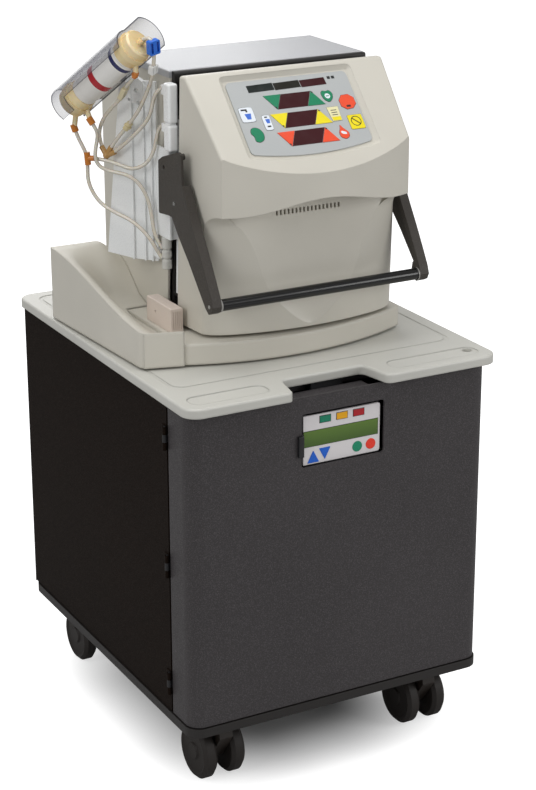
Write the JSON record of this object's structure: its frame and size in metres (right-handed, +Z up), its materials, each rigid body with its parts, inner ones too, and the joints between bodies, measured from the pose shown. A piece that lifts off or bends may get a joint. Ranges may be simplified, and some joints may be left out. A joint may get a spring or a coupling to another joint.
{
  "type": "dialysis machine",
  "caption": "Tabletop haemodialysis cycler with lift handle and filter, standing on a wheeled fluid-preparation cart with drawer and side door.",
  "frame": {"origin": "on the floor under the middle of the worktop", "axes": "+Z up, -Y towards the user (control panel side), +X to the user's right when facing the machine"},
  "size_m": [0.6166, 0.712, 1.2822],
  "materials": {
    "worktop_plastic": "satin",
    "cart_panel": "textured",
    "tray_plastic": "matte",
    "tub_plastic": "matte",
    "tank_plastic": "satin",
    "slide_steel": "brushed",
    "unit_case": "matte",
    "panel_film": "satin",
    "lcd_glass": "gloss",
    "lamp_plastic": "satin",
    "key_film": "satin",
    "display_glass": "gloss",
    "hinge_metal": "satin",
    "pump_metal": "satin",
    "inlet_plastic": "matte",
    "fork_plastic": "satin",
    "wheel_rubber": "matte",
    "foot_rubber": "matte",
    "housing_plastic": "satin",
    "detector_plastic": "satin",
    "cover_plastic": "speckled",
    "slot_plastic": "matte",
    "rotor_plastic": "satin",
    "arm_metal": "textured",
    "bar_metal": "satin",
    "cartridge_plastic": "satin",
    "pod_plastic": "satin",
    "filter_case": "gloss",
    "filter_cap": "satin",
    "shield_plastic": "gloss",
    "fitting_plastic": "satin",
    "clamp_plastic": "satin",
    "tube_pvc": "gloss"
  },
  "bodies": {
    "cart": {"worktop": "worktop_plastic", "base_tray": "tray_plastic", "cabinet_frame": "cart_panel", "slide_rails_fixed": "slide_steel", "control_unit": "unit_case", "control_panel": "panel_film", "lcd_window": "lcd_glass", "status_lamps": "lamp_plastic", "cart_keys": "key_film", "door_hinges": "hinge_metal", "transfer_pump": "pump_metal", "power_inlet": "inlet_plastic", "cycler_base": "housing_plastic", "cycler_feet": "foot_rubber", "left_shroud": "housing_plastic", "leak_detector": "detector_plastic", "rear_body": "housing_plastic", "top_cover": "cover_plastic", "slot_frame": "slot_plastic", "guide_rods": "slide_steel", "pump_motor": "pump_metal", "cartridge_blade": "cartridge_plastic", "tube_organiser": "cartridge_plastic", "pressure_pods": "pod_plastic", "tube_post": "pod_plastic", "dialyser_case": "filter_case", "dialyser_caps": "filter_cap", "filter_shield": "shield_plastic", "shield_bracket": "cartridge_plastic", "line_fittings": "fitting_plastic", "pinch_clamps": "clamp_plastic", "line_lower": "tube_pvc", "line_upper": "tube_pvc", "line_cross": "tube_pvc", "line_clamp": "tube_pvc", "line_pod": "tube_pvc", "line_cap": "tube_pvc"},
    "drawer": {"drawer_front": "cart_panel", "drawer_tub": "tub_plastic", "fluid_tank": "tank_plastic", "slide_rails_moving": "slide_steel"},
    "door": {"side_door": "cart_panel"},
    "housing": {"front_housing": "housing_plastic", "control_fascia": "panel_film", "display_windows": "display_glass", "fascia_keys": "key_film", "pressure_plate": "slot_plastic", "pivot_pins": "slide_steel"},
    "handle": {"handle_arm_left": "arm_metal", "handle_arm_right": "arm_metal", "handle_bar": "bar_metal"},
    "rotor": {"pump_rotor": "rotor_plastic"},
    "fork_front_left": {"caster_fork_front_left": "fork_plastic"},
    "wheels_front_left": {"caster_wheels_front_left": "wheel_rubber"},
    "fork_front_right": {"caster_fork_front_right": "fork_plastic"},
    "wheels_front_right": {"caster_wheels_front_right": "wheel_rubber"},
    "fork_rear_left": {"caster_fork_rear_left": "fork_plastic"},
    "wheels_rear_left": {"caster_wheels_rear_left": "wheel_rubber"},
    "fork_rear_right": {"caster_fork_rear_right": "fork_plastic"},
    "wheels_rear_right": {"caster_wheels_rear_right": "wheel_rubber"}
  },
  "joints": [
    {"name": "drawer_slide", "type": "slide", "parent": "cart", "child": "drawer", "axis": [0, -1, 0], "range_m": [0, 0.4]},
    {"name": "side_door_hinge", "type": "hinge", "parent": "cart", "child": "door", "pos_m": [-0.2905, -0.2595, 0.42], "axis": [0, 0, 1], "range_deg": [0, 100]},
    {"name": "housing_slide", "type": "slide", "parent": "cart", "child": "housing", "axis": [0, -1, 0], "range_m": [0, 0.045]},
    {"name": "handle_lift", "type": "hinge", "parent": "housing", "child": "handle", "pos_m": [0.022, -0.094, 0.98], "axis": [-1, 0, 0], "range_deg": [0, 80]},
    {"name": "pump_spin", "type": "hinge", "parent": "cart", "child": "rotor", "pos_m": [0.06, -0.03, 0.91], "axis": [0, 1, 0], "continuous": true},
    {"name": "swivel_front_left", "type": "hinge", "parent": "cart", "child": "fork_front_left", "pos_m": [-0.205, -0.276, 0.13], "axis": [0, 0, 1], "continuous": true},
    {"name": "roll_front_left", "type": "hinge", "parent": "fork_front_left", "child": "wheels_front_left", "pos_m": [-0.205, -0.25, 0.05], "axis": [1, 0, 0], "continuous": true},
    {"name": "swivel_front_right", "type": "hinge", "parent": "cart", "child": "fork_front_right", "pos_m": [0.205, -0.276, 0.13], "axis": [0, 0, 1], "continuous": true},
    {"name": "roll_front_right", "type": "hinge", "parent": "fork_front_right", "child": "wheels_front_right", "pos_m": [0.205, -0.25, 0.05], "axis": [1, 0, 0], "continuous": true},
    {"name": "swivel_rear_left", "type": "hinge", "parent": "cart", "child": "fork_rear_left", "pos_m": [-0.205, 0.23, 0.13], "axis": [0, 0, 1], "continuous": true},
    {"name": "roll_rear_left", "type": "hinge", "parent": "fork_rear_left", "child": "wheels_rear_left", "pos_m": [-0.205, 0.256, 0.05], "axis": [1, 0, 0], "continuous": true},
    {"name": "swivel_rear_right", "type": "hinge", "parent": "cart", "child": "fork_rear_right", "pos_m": [0.205, 0.23, 0.13], "axis": [0, 0, 1], "continuous": true},
    {"name": "roll_rear_right", "type": "hinge", "parent": "fork_rear_right", "child": "wheels_rear_right", "pos_m": [0.205, 0.256, 0.05], "axis": [1, 0, 0], "continuous": true}
  ],
  "couplings": [
    {"joint": "housing_slide", "follows": "handle_lift", "m_per_rad": 0.0322}
  ]
}
